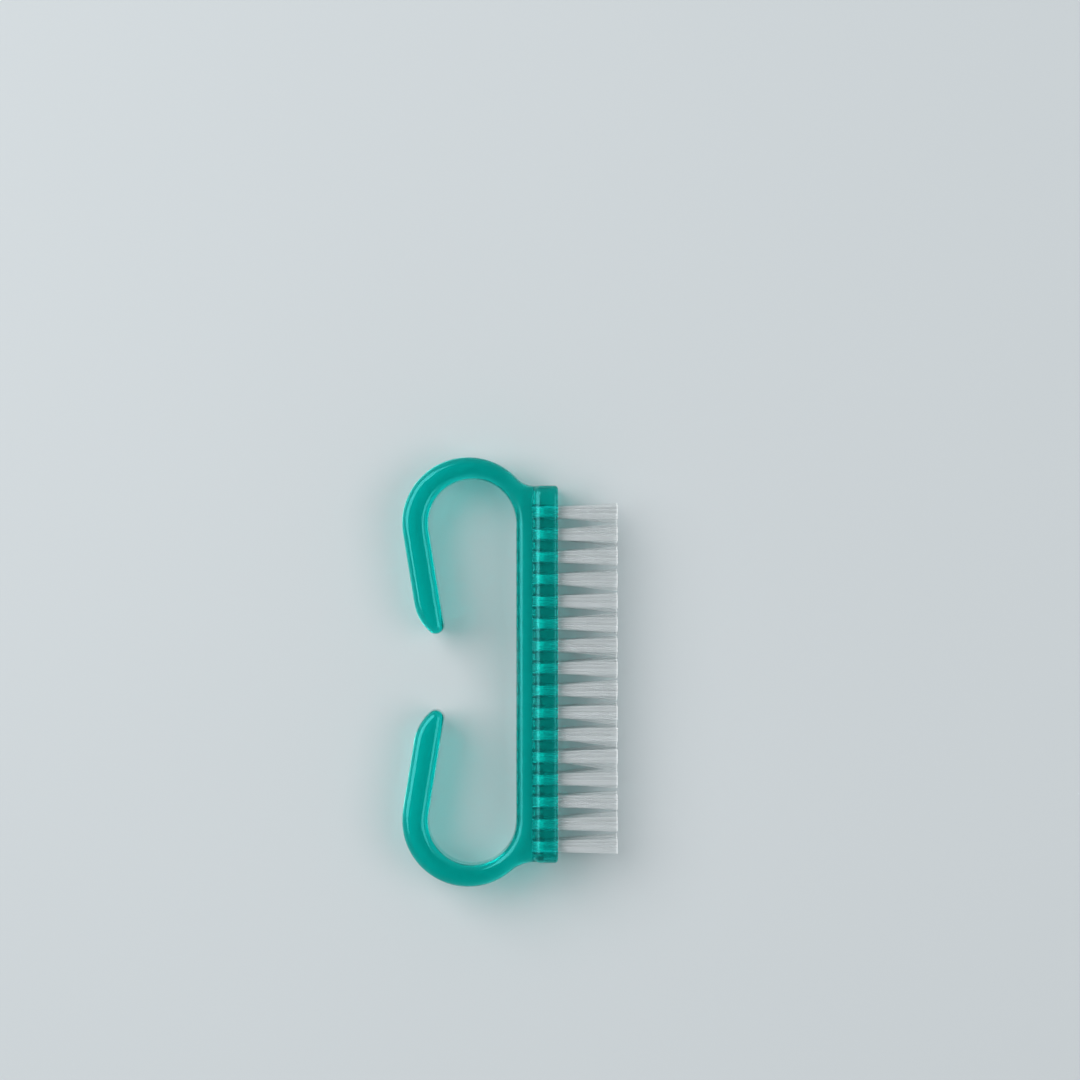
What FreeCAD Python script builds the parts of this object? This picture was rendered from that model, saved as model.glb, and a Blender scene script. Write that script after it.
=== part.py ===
"""Nail brush with two open finger hooks, lying on its side.

The brush is one plastic moulding, three rows of bristle tufts, and the flat wire anchors that hold
the tufts. A tuft is a bundle of filaments folded in half over its anchor and driven into a blind
hole, where the anchor's two ends bite into the wall.

Frame, in millimetres: Z is up from the surface that the brush lies on, Y runs along the brush, and
X runs from the hooks to the bristle tips. The origin is under the middle of the brush, on that
surface.
"""

import FreeCAD, Part

import math
import os

# Handle: a strip with a straight web, bent into an open hook at each end.
handle_length = 70.0  # from crown to crown
handle_width = 9.2
loop_width = 14.2  # clear, from the web to the root of a hook's arm
crown_thickness = 3.75
arm_thickness = 4.4
web_thickness = 2.65
arm_lean = 9.2  # degrees by which an arm leans in towards the web
finger_gap = 12.2  # between the tips of the two arms
tip_radius = 1.45
tip_bevel_radius = 8.0  # the arm's outer side turns in to the tip on this arc
upper_neck_radius = 3.65  # hollow between a crown and the head's end
lower_neck_radius = 5.95
handle_edge_radius = 1.2
side_draft = 1.5  # degrees by which the sides fall in, away from the mould's parting line

# Head: the wider bar that holds the bristles.
head_thickness = 4.2
head_width = 12.0
upper_head_drop = 4.7  # from the upper crown down to the head's upper end
lower_head_drop = 4.0
head_corner_radius = 1.5
head_shoulder_radius = 1.45
head_rim_radius = 0.6

# Tuft holes: blind holes in the head's face, in rows along the brush.
row_names = ("bottom", "middle", "top")
tufts_in_row = 16
upper_tuft_margin = 4.35  # from the head's upper end to the middle of the first tuft
lower_tuft_margin = 2.7
row_margin = 2.4  # from the head's side to the middle of an outer row
hole_diameter = 2.1
hole_back_wall = 0.35  # from a hole's bottom to the head's back

# Tufts: bundles that fill their holes and open towards the trimmed tips.
bristle_length = 9.7  # from the head's face to the tips
tip_gap = 0.9  # between the tips of neighbouring tufts
fold_radius = 0.45  # round edge of the folded end
tuft_clearance = 0.04

# Anchors: flat wire across each hole, on edge, with the fold under it.
anchor_height = 0.9
anchor_thickness = 0.3
anchor_bite = 0.2  # into the wall at each end
fold_height = 0.6  # from a hole's bottom to the anchor
anchor_clearance = 0.03

# Working values: how far a tool runs past what it cuts, and how flat an edge is that counts as flat.
overrun = 1.0
flatness = 0.01

# Places along X, from the bristle tips back to the web.
overall_depth = arm_thickness + loop_width + web_thickness + head_thickness + bristle_length
tip_x = overall_depth / 2
face_x = tip_x - bristle_length
head_back_x = face_x - head_thickness
web_x = head_back_x - web_thickness
strip_end_x = face_x - head_rim_radius  # the strip runs on inside the head up to here

# Places along Y.
upper_head_y = handle_length / 2 - upper_head_drop
lower_head_y = lower_head_drop - handle_length / 2
first_tuft_y = upper_head_y - upper_tuft_margin
last_tuft_y = lower_head_y + lower_tuft_margin
tuft_pitch = (first_tuft_y - last_tuft_y) / (tufts_in_row - 1)

# Places along Z.
handle_z = (head_width - handle_width) / 2
row_pitch = (head_width - 2 * row_margin) / (len(row_names) - 1)

# The two large arcs of a hook have their centres side by side.
inner_radius = loop_width / 2
outer_radius = inner_radius + crown_thickness
hook_y = handle_length / 2 - outer_radius
inner_centre = FreeCAD.Vector(web_x - inner_radius, hook_y, 0)
outer_centre = inner_centre - FreeCAD.Vector(arm_thickness - crown_thickness, 0, 0)

# Sizes that follow from the holes.
hole_depth = head_thickness - hole_back_wall
hole_radius = hole_diameter / 2
tuft_root_radius = hole_radius - tuft_clearance
tuft_tip_radius = (min(tuft_pitch, row_pitch) - tip_gap) / 2
anchor_length = hole_diameter + 2 * anchor_bite

ORIGIN = FreeCAD.Vector(0, 0, 0)
X_AXIS = FreeCAD.Vector(1, 0, 0)
Y_AXIS = FreeCAD.Vector(0, 1, 0)
Z_AXIS = FreeCAD.Vector(0, 0, 1)


def polar(centre, radius, degrees):
    """The point at that distance and angle from a centre, level with it."""
    angle = math.radians(degrees)
    return centre + FreeCAD.Vector(radius * math.cos(angle), radius * math.sin(angle), 0)


def line(start, end):
    return Part.LineSegment(start, end).toShape()


def arc(centre, radius, start_degrees, end_degrees):
    """A level arc from one angle to the other, either way round."""
    middle_degrees = (start_degrees + end_degrees) / 2
    points = [polar(centre, radius, d) for d in (start_degrees, middle_degrees, end_degrees)]
    return Part.Arc(*points).toShape()


def hook_outline(head_end_y, neck_radius, inset):
    """The upper hook's edges, from inside the head round the crown and the arm back to the web.

    The inset draws the whole outline in by that much.
    """
    # The neck touches the outer arc and runs out level with the head's end.
    neck_y = head_end_y + neck_radius
    reach = math.sqrt((outer_radius + neck_radius) ** 2 - (neck_y - hook_y) ** 2)
    neck_centre = FreeCAD.Vector(outer_centre.x + reach, neck_y, 0)
    neck_angle = math.degrees(math.atan2(neck_y - hook_y, reach))
    neck_end = polar(neck_centre, neck_radius + inset, 270)
    buried_end = FreeCAD.Vector(strip_end_x, neck_end.y, 0)

    # The arm's sides touch the two large arcs, and its tip is a small arc on the inner side.
    side_angle = 180 + arm_lean
    outward = polar(ORIGIN, 1, side_angle)
    along = polar(ORIGIN, 1, side_angle + 90)
    inner_start = polar(inner_centre, inner_radius, side_angle)
    outer_start = polar(outer_centre, outer_radius, side_angle)
    arm_width = (outer_start - inner_start).dot(outward)
    tip_start = inner_start + outward * tip_radius
    tip_drop = tip_start.y - finger_gap / 2 - tip_radius
    tip_centre = tip_start - along * (tip_drop / along.y)
    tip_end = tip_centre - outward * tip_radius

    # The bevel touches the arm's outer side and the small arc, which lies inside it.
    bevel_inward = tip_bevel_radius + tip_radius - arm_width
    bevel_back = math.sqrt((tip_bevel_radius - tip_radius) ** 2 - bevel_inward**2)
    bevel_centre = tip_centre - outward * bevel_inward - along * bevel_back
    bevel_start = bevel_centre + outward * tip_bevel_radius
    bevel_angle = side_angle + math.degrees(math.atan2(bevel_back, bevel_inward))

    drawn_in = outward * inset
    return [
        line(buried_end, neck_end),
        arc(neck_centre, neck_radius + inset, 270, 180 + neck_angle),
        arc(outer_centre, outer_radius - inset, neck_angle, side_angle),
        line(outer_start - drawn_in, bevel_start - drawn_in),
        arc(bevel_centre, tip_bevel_radius - inset, side_angle, bevel_angle),
        arc(tip_centre, tip_radius - inset, bevel_angle, side_angle + 180),
        line(tip_end + drawn_in, inner_start + drawn_in),
        arc(inner_centre, inner_radius + inset, side_angle, 0),
    ]


def strip_outline(inset, z):
    """The whole strip's outline, drawn in by the inset, at that height above the strip's lower side."""
    upper = hook_outline(upper_head_y, upper_neck_radius, inset)
    lower = [edge.mirror(ORIGIN, Y_AXIS) for edge in hook_outline(-lower_head_y, lower_neck_radius, inset)]
    web = line(FreeCAD.Vector(web_x + inset, hook_y, 0), FreeCAD.Vector(web_x + inset, -hook_y, 0))
    buried = line(
        FreeCAD.Vector(strip_end_x, upper_head_y - inset, 0),
        FreeCAD.Vector(strip_end_x, lower_head_y + inset, 0),
    )
    outline = Part.Wire(Part.__sortEdges__(upper + [web] + lower + [buried]))
    outline.translate(Z_AXIS * z)
    return outline


def handle_strip():
    """Both hooks and the web in one piece, widest at the parting line half way up, with round edges."""
    parting_z = handle_width / 2
    inset = parting_z * math.tan(math.radians(side_draft))
    outlines = [strip_outline(inset, 0), strip_outline(0, parting_z), strip_outline(inset, handle_width)]
    strip = Part.makeLoft(outlines, True, True)
    side_edges = [
        edge
        for edge in strip.Edges
        if edge.BoundBox.ZLength < flatness and abs(edge.CenterOfMass.z - parting_z) > flatness
    ]
    strip = strip.makeFillet(min(handle_edge_radius, tip_radius - inset - flatness), side_edges)
    strip.translate(Z_AXIS * handle_z)
    return strip


def edges_at_x(shape, x):
    """The edges of a shape that lie flat at that place along X."""
    boxes = [(edge, edge.BoundBox) for edge in shape.Edges]
    return [edge for edge, box in boxes if max(abs(box.XMin - x), abs(box.XMax - x)) < flatness]


def head_bar():
    """The bar: round corners, a round shoulder towards the handle and a finer rim at the bristles."""
    corner = FreeCAD.Vector(head_back_x, lower_head_y, 0)
    bar = Part.makeBox(head_thickness, upper_head_y - lower_head_y, head_width, corner)
    long_edges = [edge for edge in bar.Edges if edge.BoundBox.XLength > flatness]
    bar = bar.makeFillet(head_corner_radius, long_edges)
    bar = bar.makeFillet(head_shoulder_radius, edges_at_x(bar, head_back_x))
    return bar.makeFillet(head_rim_radius, edges_at_x(bar, face_x))


def row_roots(row):
    """Where the tufts of a row leave the head's face, from the upper end down."""
    z = row_margin + row * row_pitch
    return [FreeCAD.Vector(face_x, first_tuft_y - n * tuft_pitch, z) for n in range(tufts_in_row)]


def tuft_hole(root):
    return Part.makeCylinder(hole_radius, hole_depth + overrun, root - X_AXIS * hole_depth, X_AXIS)


def anchor(root, clearance=0):
    """The flat wire in the hole at that root, lying along the brush, or its space with a clearance."""
    height = anchor_height + 2 * clearance
    length = anchor_length + 2 * clearance
    thickness = anchor_thickness + 2 * clearance
    low_x = fold_height - hole_depth - clearance
    return Part.makeBox(height, length, thickness, root + FreeCAD.Vector(low_x, -length / 2, -thickness / 2))


def brush_body():
    """The moulding, with a blind hole for each tuft and the notches that its anchor bites."""
    roots = [root for row in range(len(row_names)) for root in row_roots(row)]
    body = handle_strip().fuse(head_bar()).removeSplitter()
    body = body.cut(Part.makeCompound([tuft_hole(root) for root in roots]))
    body = body.cut(Part.makeCompound([anchor(root) for root in roots]))
    return body.Solids[0]


def tuft(root):
    """A bundle: round edged at its fold, straight in its hole, then opening to its flat trimmed tip."""
    fold_x = tuft_clearance - hole_depth
    fold_centre = FreeCAD.Vector(fold_x + fold_radius, tuft_root_radius - fold_radius, 0)
    fold_middle = FreeCAD.Vector(fold_x, 0, 0)
    fold_edge = FreeCAD.Vector(fold_x, fold_centre.y, 0)
    mouth = FreeCAD.Vector(0, tuft_root_radius, 0)
    tip_edge = FreeCAD.Vector(bristle_length, tuft_tip_radius, 0)
    tip_middle = FreeCAD.Vector(bristle_length, 0, 0)
    fold_end = FreeCAD.Vector(fold_centre.x, tuft_root_radius, 0)
    profile = [
        line(fold_middle, fold_edge),
        arc(fold_centre, fold_radius, 180, 90),
        line(fold_end, mouth),
        line(mouth, tip_edge),
        line(tip_edge, tip_middle),
        line(tip_middle, fold_middle),
    ]
    bundle = Part.Face(Part.Wire(profile)).revolve(ORIGIN, X_AXIS, 360)
    bundle.translate(root)
    return bundle.cut(anchor(root, anchor_clearance)).Solids[0]


def export(shape, node):
    shape.exportStep(os.path.join("parts", node + ".step"))


os.makedirs("parts", exist_ok=True)
export(brush_body(), "brush_body")
for row, row_name in enumerate(row_names):
    roots = row_roots(row)
    export(Part.makeCompound([anchor(root) for root in roots]), f"anchors_{row_name}_row")
    for number, root in enumerate(roots, start=1):
        export(tuft(root), f"tuft_{row_name}_{number:02d}")
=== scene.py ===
import math
import random

import bpy
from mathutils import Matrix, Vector


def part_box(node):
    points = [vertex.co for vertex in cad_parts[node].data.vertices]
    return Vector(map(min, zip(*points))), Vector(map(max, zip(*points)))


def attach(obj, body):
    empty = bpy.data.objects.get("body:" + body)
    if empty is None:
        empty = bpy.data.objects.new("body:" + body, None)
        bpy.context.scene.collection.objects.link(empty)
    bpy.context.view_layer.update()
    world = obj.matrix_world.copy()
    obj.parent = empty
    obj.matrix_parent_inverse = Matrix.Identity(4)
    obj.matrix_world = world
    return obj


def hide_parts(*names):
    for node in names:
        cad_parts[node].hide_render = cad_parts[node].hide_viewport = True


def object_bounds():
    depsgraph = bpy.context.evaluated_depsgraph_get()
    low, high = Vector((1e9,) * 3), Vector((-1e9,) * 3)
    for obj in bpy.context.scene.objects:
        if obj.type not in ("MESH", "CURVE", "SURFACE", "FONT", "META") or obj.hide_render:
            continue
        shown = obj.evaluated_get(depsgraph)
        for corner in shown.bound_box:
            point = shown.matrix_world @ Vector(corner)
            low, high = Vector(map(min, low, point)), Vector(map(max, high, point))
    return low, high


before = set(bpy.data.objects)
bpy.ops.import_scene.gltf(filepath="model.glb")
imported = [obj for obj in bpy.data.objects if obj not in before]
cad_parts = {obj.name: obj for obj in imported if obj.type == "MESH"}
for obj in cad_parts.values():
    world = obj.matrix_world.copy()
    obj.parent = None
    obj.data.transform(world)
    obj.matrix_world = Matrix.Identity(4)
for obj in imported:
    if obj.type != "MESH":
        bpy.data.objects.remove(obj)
cad_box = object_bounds()

# The moulding: head, web and both finger hooks in one shot of clear teal plastic. The mould parts along
# the middle of the strip, and the holes for the tufts are moulded in. The hooks come out polished, the
# web and the head a little hazy.
MM = 0.001
TEAL_LIGHT = (0.006, 0.78, 0.715, 1)
TEAL_DARK = (0.004, 0.72, 0.66, 1)
TEAL_DEPTH = (0.7, 0.976, 0.972, 1)
TEAL_DENSITY = 500
TEAL_SHADOW = (0.32, 0.4, 0.4, 1)  # the lamps' light behind the plastic
TEAL_GLOSS = (0.3, 1.7, 1.8, 1)
PLASTIC_IOR = 1.45
PLASTIC_CLEAR_SHARE = 0.94  # of the light that enters the plastic, how much goes straight on
FLOW_CELLS = 140  # to the metre, where the melt ran lighter or darker
MOTTLE_CELLS = 900
POLISH_ROUGHNESS = 0.05
MOTTLE_ROUGHNESS = 0.03
HAZE_ROUGHNESS = 0.14
POLISH_END_X = -3 * MM  # where the hooks' polish starts to fade towards the web
HAZE_START_X = 0.0  # where it is all haze


class Wire:
    """A socket in a material's nodes. Sums of wires and numbers add the Math nodes for them."""

    def __init__(self, tree, socket=None):
        self.tree = tree
        self.socket = socket

    def node(self, kind, settings, values, output=0):
        """Adds a node, sets it up, fills or links its inputs and gives the wire of one output."""
        new = self.tree.nodes.new(kind)
        for name, value in settings.items():
            if name == "stops":
                stops = new.color_ramp.elements
                stops.remove(stops[1])
                stops[0].position, stops[0].color = value[0]
                for at, colour in value[1:]:
                    stops.new(at).color = colour
            else:
                setattr(new, name, value)
        for key, value in values.items():
            socket = self.pick(new.inputs, key)
            if isinstance(value, Wire):
                self.tree.links.new(value.socket, socket)
            else:
                socket.default_value = value
        return Wire(self.tree, self.pick(new.outputs, output)) if new.outputs else None

    @staticmethod
    def pick(sockets, key):
        """The socket with that number, or the first with that name or identifier."""
        if isinstance(key, int):
            return sockets[key]
        return next(socket for socket in sockets if key in (socket.name, socket.identifier))

    def math(self, operation, *values):
        return self.node("ShaderNodeMath", {"operation": operation}, dict(enumerate(values)))

    def __add__(self, other):
        return self.math("ADD", self, other)

    def __mul__(self, other):
        return self.math("MULTIPLY", self, other)

    __radd__ = __add__
    __rmul__ = __mul__

    def blend(self, low, high):
        """The colour between two colours that this value picks."""
        values = {"Factor_Float": self, "A_Color": low, "B_Color": high}
        return self.node("ShaderNodeMix", {"data_type": "RGBA"}, values, "Result_Color")

    def cover(self, under, over):
        """The finish between two finishes that this value picks."""
        return self.node("ShaderNodeMixShader", {}, {0: self, 1: under, 2: over})

    def noise(self, cells, detail=2):
        """Smooth noise from 0 to 1 with that many cells to the metre, at this wire's place."""
        values = {"Vector": self, "Scale": cells, "Detail": detail}
        return self.node("ShaderNodeTexNoise", {}, values, "Fac")

    def part(self, axis):
        """One part of this wire's place or direction."""
        return self.node("ShaderNodeSeparateXYZ", {}, {"Vector": self}, axis)

    def stretch(self, start, end):
        """From 0 to 1 while this value goes from the start to the end."""
        return self.node("ShaderNodeMapRange", {}, {"Value": self, "From Min": start, "From Max": end})

    def lets_lamps_through(self, tint):
        """This finish, behind which the lamps' light goes on with that tint."""
        shadow_ray = self.node("ShaderNodeLightPath", {}, {}, "Is Shadow Ray")
        return shadow_ray.cover(self, self.node("ShaderNodeBsdfTransparent", {}, {"Color": tint}))


def new_finish(name):
    """A new material, a wire to add its nodes with, and the wire of a point's place."""
    material = bpy.data.materials.new(name)
    material.use_nodes = True
    material.node_tree.nodes.clear()
    wire = Wire(material.node_tree)
    return material, wire, wire.node("ShaderNodeTexCoord", {}, {}, "Object")


def teal_plastic():
    material, wire, place = new_finish("teal_plastic")
    flow = place.noise(FLOW_CELLS)
    mottle = place.noise(MOTTLE_CELLS, detail=4)
    haze = place.part("X").stretch(POLISH_END_X, HAZE_START_X)
    plastic = wire.node(
        "ShaderNodeBsdfPrincipled",
        {},
        {
            "Base Color": flow.blend(TEAL_DARK, TEAL_LIGHT),
            "Roughness": POLISH_ROUGHNESS + mottle * MOTTLE_ROUGHNESS + haze * HAZE_ROUGHNESS,
            "IOR": PLASTIC_IOR,
            "Specular Tint": TEAL_GLOSS,
            "Transmission Weight": PLASTIC_CLEAR_SHARE,
        },
    )
    surface = plastic.lets_lamps_through(TEAL_SHADOW)
    depth = wire.node("ShaderNodeVolumeAbsorption", {}, {"Color": TEAL_DEPTH, "Density": TEAL_DENSITY})
    wire.node("ShaderNodeOutputMaterial", {}, {"Surface": surface, "Volume": depth})
    return material


def dress(node, material):
    """Gives a CAD node its finish."""
    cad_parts[node].data.materials.clear()
    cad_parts[node].data.materials.append(material)


dress("brush_body", teal_plastic())

# The anchors: short cuts of bright flat metal wire, one across the bottom of each hole, with the fold of
# its tuft under it. A machine cuts each one and drives it in together with its tuft, and its two ends
# bite into the wall of the hole.
ROW_NAMES = ("bottom", "middle", "top")
WIRE_GREY = (0.72, 0.71, 0.68, 1)
WIRE_ROUGHNESS = 0.2
DRAWN_LINE_CELLS = 6000
DRAWN_LINE_ROUGHNESS = 0.2


def drawn_wire():
    material, wire, place = new_finish("anchor_wire")
    lines = place.noise(DRAWN_LINE_CELLS)
    roughness = WIRE_ROUGHNESS + lines * DRAWN_LINE_ROUGHNESS
    values = {"Base Color": WIRE_GREY, "Metallic": 1.0, "Roughness": roughness}
    metal = wire.node("ShaderNodeBsdfPrincipled", {}, values)
    wire.node("ShaderNodeOutputMaterial", {}, {"Surface": metal})
    return material


anchor_wire = drawn_wire()
for row_name in ROW_NAMES:
    dress(f"anchors_{row_name}_row", anchor_wire)

# The tufts: bundles of white nylon filament, each folded in half over its anchor and driven into its
# hole. They are trimmed level after tufting, and spread from the mouth of the hole to the tips. The
# nylon turns white where it is cut. A band just above the fold is a painted glint, and the legs in the
# hole are a little whitened up to the mouth.
TUFTS_IN_ROW = 16
FILAMENT_RADIUS = 0.1 * MM
CUT_RADIUS_SHARE = 0.8  # of the filament's radius, at a trimmed tip
TUFT_ROOT_RADIUS = 1.01 * MM
ROOT_REACH = TUFT_ROOT_RADIUS - FILAMENT_RADIUS  # from the middle of a hole to its outermost filaments
ANCHOR_LOW = 0.6 * MM  # from the hole's bottom to the anchor
FIRST_LAYER = 0.26 * MM  # from the anchor's middle plane to the nearest filaments
LAYERS = 4
LAYER_STEP = 0.2 * MM
FOLD_CLEARANCE = 0.03 * MM  # from the deepest fold to the hole's bottom
INNER_FOLD_SHARE = 0.4  # of the deepest fold's depth, for one right under the anchor
FOLD_TURNS = (0.25, 0.5, 0.75)
LEG_SHARES = (1, 0.97, 0.7, 0.4, 0.15, 0.0)  # points of a leg, from its tip to the head's face
TIP_CLOSING = 0.2 * MM  # by which the two halves of a tuft close up from its root to its tips
TIP_RADII = (1.7 * MM, 1.62 * MM, 1.18 * MM)  # of a tuft, for each row
TUFT_LEANS = (0.3 * MM, 0.3 * MM, 0.06 * MM)  # how far the tips of a tuft stray along the brush
LEG_LEAN = 0.05 * MM  # how far the tip of one leg strays from its tuft
LEG_BOW = 0.02 * MM
TRIM_SCATTER = 0.07 * MM  # how far a tip may stop short of the trimmed level
SCATTER_SEED = 16
NYLON_DARK = (0.55, 0.58, 0.59, 1)
NYLON_LIGHT = (0.67, 0.7, 0.71, 1)
# white of the trimmed tips, also used for the painted glint near the fold
NYLON_CUT_AND_GLINT = (0.97, 0.98, 0.98, 1)
NYLON_SHADOW = (0.96, 0.965, 0.965, 1)  # the lamps' light behind a filament
NYLON_IOR = 1.53
NYLON_CLEAR_SHARE = 0.7
NYLON_ROUGHNESS = 0.35
CUT_AND_GLINT_ROUGHNESS = 0.5
GRAIN_ROUGHNESS = 0.2
GRAIN_CELLS = 2500
# painted glint: a band of each filament next to the anchor is painted white for light that the head's
# rounded shoulder gathers onto the tuft
PAINTED_GLINT_WHITE = [(0.035, 0.3), (0.05, 1.0), (0.1, 1.0), (0.115, 0.3)]  # share of the length, whiteness
MOUTH_WHITE = [(0.28, 0.3), (0.3, 0.0)]
TIP_WHITE = [(0.98, 0.0), (0.993, 0.6)]
face_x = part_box("brush_body")[1].x
draws = random.Random(SCATTER_SEED)


def filament_nylon(fold_x, tip_x):
    material, wire, place = new_finish("white_nylon")
    share = place.part("X").stretch(fold_x, tip_x)
    shade = wire.node("ShaderNodeNewGeometry", {}, {}, "Random Per Island")
    grain = place.noise(GRAIN_CELLS) * GRAIN_ROUGHNESS
    # how white each point is: the real cut white at the tips, and the painted glint just above the fold
    stops = [(at, (white, white, white, 1)) for at, white in PAINTED_GLINT_WHITE + MOUTH_WHITE + TIP_WHITE]
    glint_and_cut_white = wire.node("ShaderNodeValToRGB", {"stops": stops}, {"Fac": share})
    nylon = wire.node(
        "ShaderNodeBsdfPrincipled",
        {},
        {
            "Base Color": shade.blend(NYLON_DARK, NYLON_LIGHT),
            "Roughness": NYLON_ROUGHNESS + grain,
            "IOR": NYLON_IOR,
            "Transmission Weight": NYLON_CLEAR_SHARE,
        },
    )
    values = {"Base Color": NYLON_CUT_AND_GLINT, "Roughness": CUT_AND_GLINT_ROUGHNESS + grain, "IOR": NYLON_IOR}
    cut_and_glint_nylon = wire.node("ShaderNodeBsdfPrincipled", {}, values)
    surface = glint_and_cut_white.cover(nylon, cut_and_glint_nylon).lets_lamps_through(NYLON_SHADOW)
    wire.node("ShaderNodeOutputMaterial", {}, {"Surface": surface})
    return material


def filament_seats():
    """Where the legs of the filaments stand in a hole, across and away from the anchor, on one side."""
    for layer in range(LAYERS):
        away = FIRST_LAYER + layer * LAYER_STEP
        half_chord = math.sqrt(ROOT_REACH**2 - away**2)
        count = int(half_chord / FILAMENT_RADIUS) + 1
        for n in range(count):
            yield (2 * n / (count - 1) - 1) * half_chord, away


def leg(y, z, fold_x, tip_x, tip_radius, tuft_lean):
    """One leg of a filament, from its trimmed tip down to the level of the anchor's lower edge."""
    spread = (tip_radius - FILAMENT_RADIUS) / ROOT_REACH
    lean_y = tuft_lean + draws.gauss(0, LEG_LEAN)
    lean_z = draws.gauss(0, LEG_LEAN) - math.copysign(TIP_CLOSING, z)
    bow = draws.gauss(0, LEG_BOW)
    end_x = tip_x - abs(draws.gauss(0, TRIM_SCATTER))
    points = []
    for share in LEG_SHARES:
        grow = 1 + (spread - 1) * share
        side = bow * math.sin(math.pi * share)
        x = face_x + (end_x - face_x) * share
        points.append(Vector((x, y * grow + lean_y * share + side, z * grow + lean_z * share + side)))
    points.append(Vector((fold_x + ANCHOR_LOW, y, z)))
    return points


def fold(y, z, fold_x):
    """The bend of a filament under its anchor, from one leg to the other."""
    deepest = ANCHOR_LOW - FILAMENT_RADIUS - FOLD_CLEARANCE
    drop = deepest * (INNER_FOLD_SHARE + (1 - INNER_FOLD_SHARE) * z / ROOT_REACH)
    for turn in FOLD_TURNS:
        x = fold_x + ANCHOR_LOW - drop * math.sin(math.pi * turn)
        yield Vector((x, y, z * math.cos(math.pi * turn)))


def tuft_piece(node, material, tip_radius, lean):
    """A tuft of folded filaments in the place of its CAD solid."""
    low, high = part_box(node)
    middle = Vector((0, (low.y + high.y) / 2, (low.z + high.z) / 2))
    curve = bpy.data.curves.new(node, "CURVE")
    curve.dimensions = "3D"
    curve.bevel_depth = FILAMENT_RADIUS
    curve.bevel_resolution = 1
    curve.use_fill_caps = True
    tuft_lean = draws.gauss(0, lean)
    for y, z in filament_seats():
        path = leg(y, z, low.x, high.x, tip_radius, tuft_lean)
        path += fold(y, z, low.x)
        path += reversed(leg(y, -z, low.x, high.x, tip_radius, tuft_lean))
        spline = curve.splines.new("POLY")
        spline.points.add(len(path) - 1)
        for point, place in zip(spline.points, path):
            point.co = (*(place + middle), 1)
        spline.points[0].radius = CUT_RADIUS_SHARE
        spline.points[-1].radius = CUT_RADIUS_SHARE
        spline.use_smooth = True
    holder = bpy.data.objects.new(node + "_filaments", curve)
    bpy.context.scene.collection.objects.link(holder)
    bpy.context.view_layer.update()
    mesh = bpy.data.meshes.new_from_object(holder.evaluated_get(bpy.context.evaluated_depsgraph_get()))
    bpy.data.objects.remove(holder)
    mesh.name = node + "_filaments"
    mesh.materials.clear()
    mesh.materials.append(material)
    piece = bpy.data.objects.new(node + "_filaments", mesh)
    bpy.context.scene.collection.objects.link(piece)
    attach(piece, "root")
    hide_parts(node)


tuft_low, tuft_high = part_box("tuft_top_01")
white_nylon = filament_nylon(tuft_low.x, tuft_high.x)
for row_name, tip_radius, tuft_lean in zip(ROW_NAMES, TIP_RADII, TUFT_LEANS):
    for number in range(1, TUFTS_IN_ROW + 1):
        tuft_piece(f"tuft_{row_name}_{number:02d}", white_nylon, tip_radius, tuft_lean)

# The stage: a pale level floor under the brush, a large soft lamp from the upper left, a weaker one high
# on the bristles' side, in line with the gaps between the tufts, and a long lens straight above.
FLOOR_DARK = (0.56, 0.6, 0.62, 1)
FLOOR_LIGHT = (0.58, 0.62, 0.64, 1)
FLOOR_ROUGHNESS = 0.6
FLOOR_CLOUD_CELLS = 8
FLOOR_HALF = 3.0
FLOOR_Z = -0.1 * MM  # a hair under the brush, which lies on its side
PHOTO_SIDE = 1080
PHOTO_SCALE = 6.125 / MM  # photo pixels to the metre at the brush
PHOTO_FACE = 558  # where the head's face stands in the photo, from its left edge
PHOTO_MIDDLE = 671.4  # where the middle of the brush lies in the photo, from its top edge
CAMERA_HEIGHT = 0.8
SENSOR = 36
DOME_GREYS = [(0.0, 0.44), (0.3, 0.43), (0.6, 0.4), (0.8, 0.3), (0.92, 0.06), (1.0, 0.02)]  # height, grey
DOME_TINT = (0.96, 1, 1.02)  # a little cool
BOUNCES = 24
CLEAR_BOUNCES = 64  # through the filaments, one behind the other


def pale_floor():
    material, wire, place = new_finish("pale_floor")
    paint_colour = place.noise(FLOOR_CLOUD_CELLS).blend(FLOOR_DARK, FLOOR_LIGHT)
    values = {"Base Color": paint_colour, "Roughness": FLOOR_ROUGHNESS}
    paint = wire.node("ShaderNodeBsdfPrincipled", {}, values)
    wire.node("ShaderNodeOutputMaterial", {}, {"Surface": paint})
    return material


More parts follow.
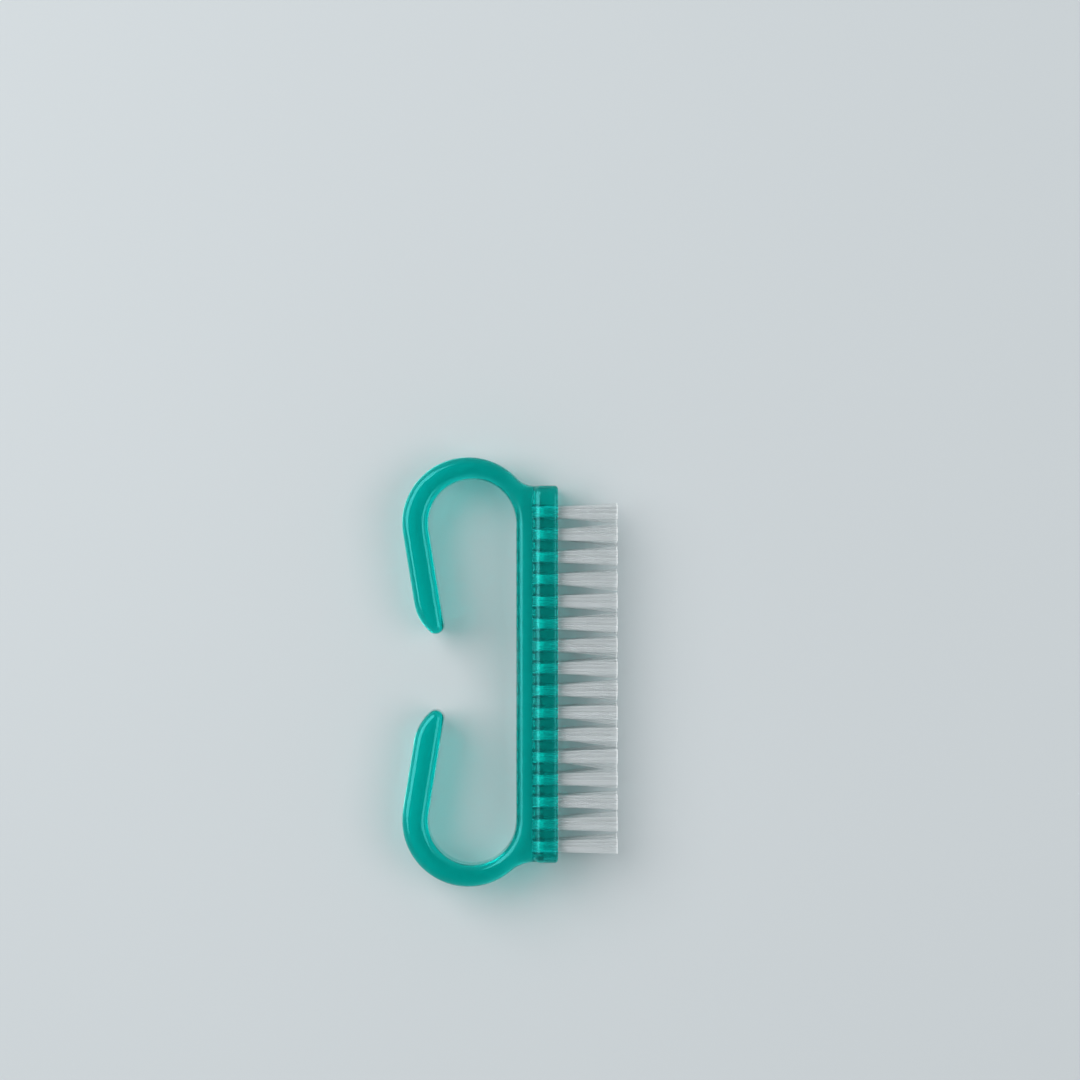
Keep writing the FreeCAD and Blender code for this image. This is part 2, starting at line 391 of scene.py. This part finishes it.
floor_mesh = bpy.data.meshes.new("floor")
corner_signs = [(-1, -1), (1, -1), (1, 1), (-1, 1)]
corners = [(x * FLOOR_HALF, y * FLOOR_HALF, FLOOR_Z) for x, y in corner_signs]
floor_mesh.from_pydata(corners, [], [(0, 1, 2, 3)])
floor_mesh.materials.append(pale_floor())
floor = bpy.data.objects.new("floor", floor_mesh)
bpy.context.scene.collection.objects.link(floor)

camera_data = bpy.data.cameras.new("camera")
camera = bpy.data.objects.new("camera", camera_data)
bpy.context.scene.collection.objects.link(camera)
bpy.context.scene.camera = camera
middle_z = cad_box[1].z / 2
frame_width = PHOTO_SIDE / PHOTO_SCALE
camera.location = (
    face_x + (PHOTO_SIDE / 2 - PHOTO_FACE) / PHOTO_SCALE,
    (PHOTO_MIDDLE - PHOTO_SIDE / 2) / PHOTO_SCALE,
    middle_z + CAMERA_HEIGHT,
)
camera_data.sensor_width = SENSOR
camera_data.lens = SENSOR * CAMERA_HEIGHT / frame_width


def soft_lamp(name, place, size, power):
    """A square lamp of that size, aimed at the brush."""
    data = bpy.data.lights.new(name, "AREA")
    data.size = size
    data.energy = power
    lamp = bpy.data.objects.new(name, data)
    bpy.context.scene.collection.objects.link(lamp)
    lamp.location = place
    lamp.rotation_euler = Vector(place).to_track_quat("Z", "Y").to_euler()


soft_lamp("key_lamp", place=(-0.6, 0.3, 0.75), size=0.85, power=9.2)
soft_lamp("fill_lamp", place=(0.45, -0.03, 0.8), size=0.5, power=2.2)


def studio_dome():
    """Soft even light from all round, dark straight overhead."""
    world = bpy.data.worlds.new("studio_dome")
    world.use_nodes = True
    world.node_tree.nodes.clear()
    wire = Wire(world.node_tree)
    height = wire.node("ShaderNodeTexCoord", {}, {}, "Generated").part("Z")
    stops = [(at, (*(grey * tint for tint in DOME_TINT), 1)) for at, grey in DOME_GREYS]
    glow = wire.node("ShaderNodeValToRGB", {"stops": stops}, {"Fac": height})
    surface = wire.node("ShaderNodeBackground", {}, {"Color": glow, "Strength": 1})
    wire.node("ShaderNodeOutputWorld", {}, {"Surface": surface})
    return world


bpy.context.scene.world = studio_dome()

bpy.context.scene.view_settings.view_transform = "Standard"
bpy.context.scene.cycles.transparent_max_bounces = CLEAR_BOUNCES
bpy.context.scene.cycles.max_bounces = BOUNCES
bpy.context.scene.cycles.transmission_bounces = BOUNCES
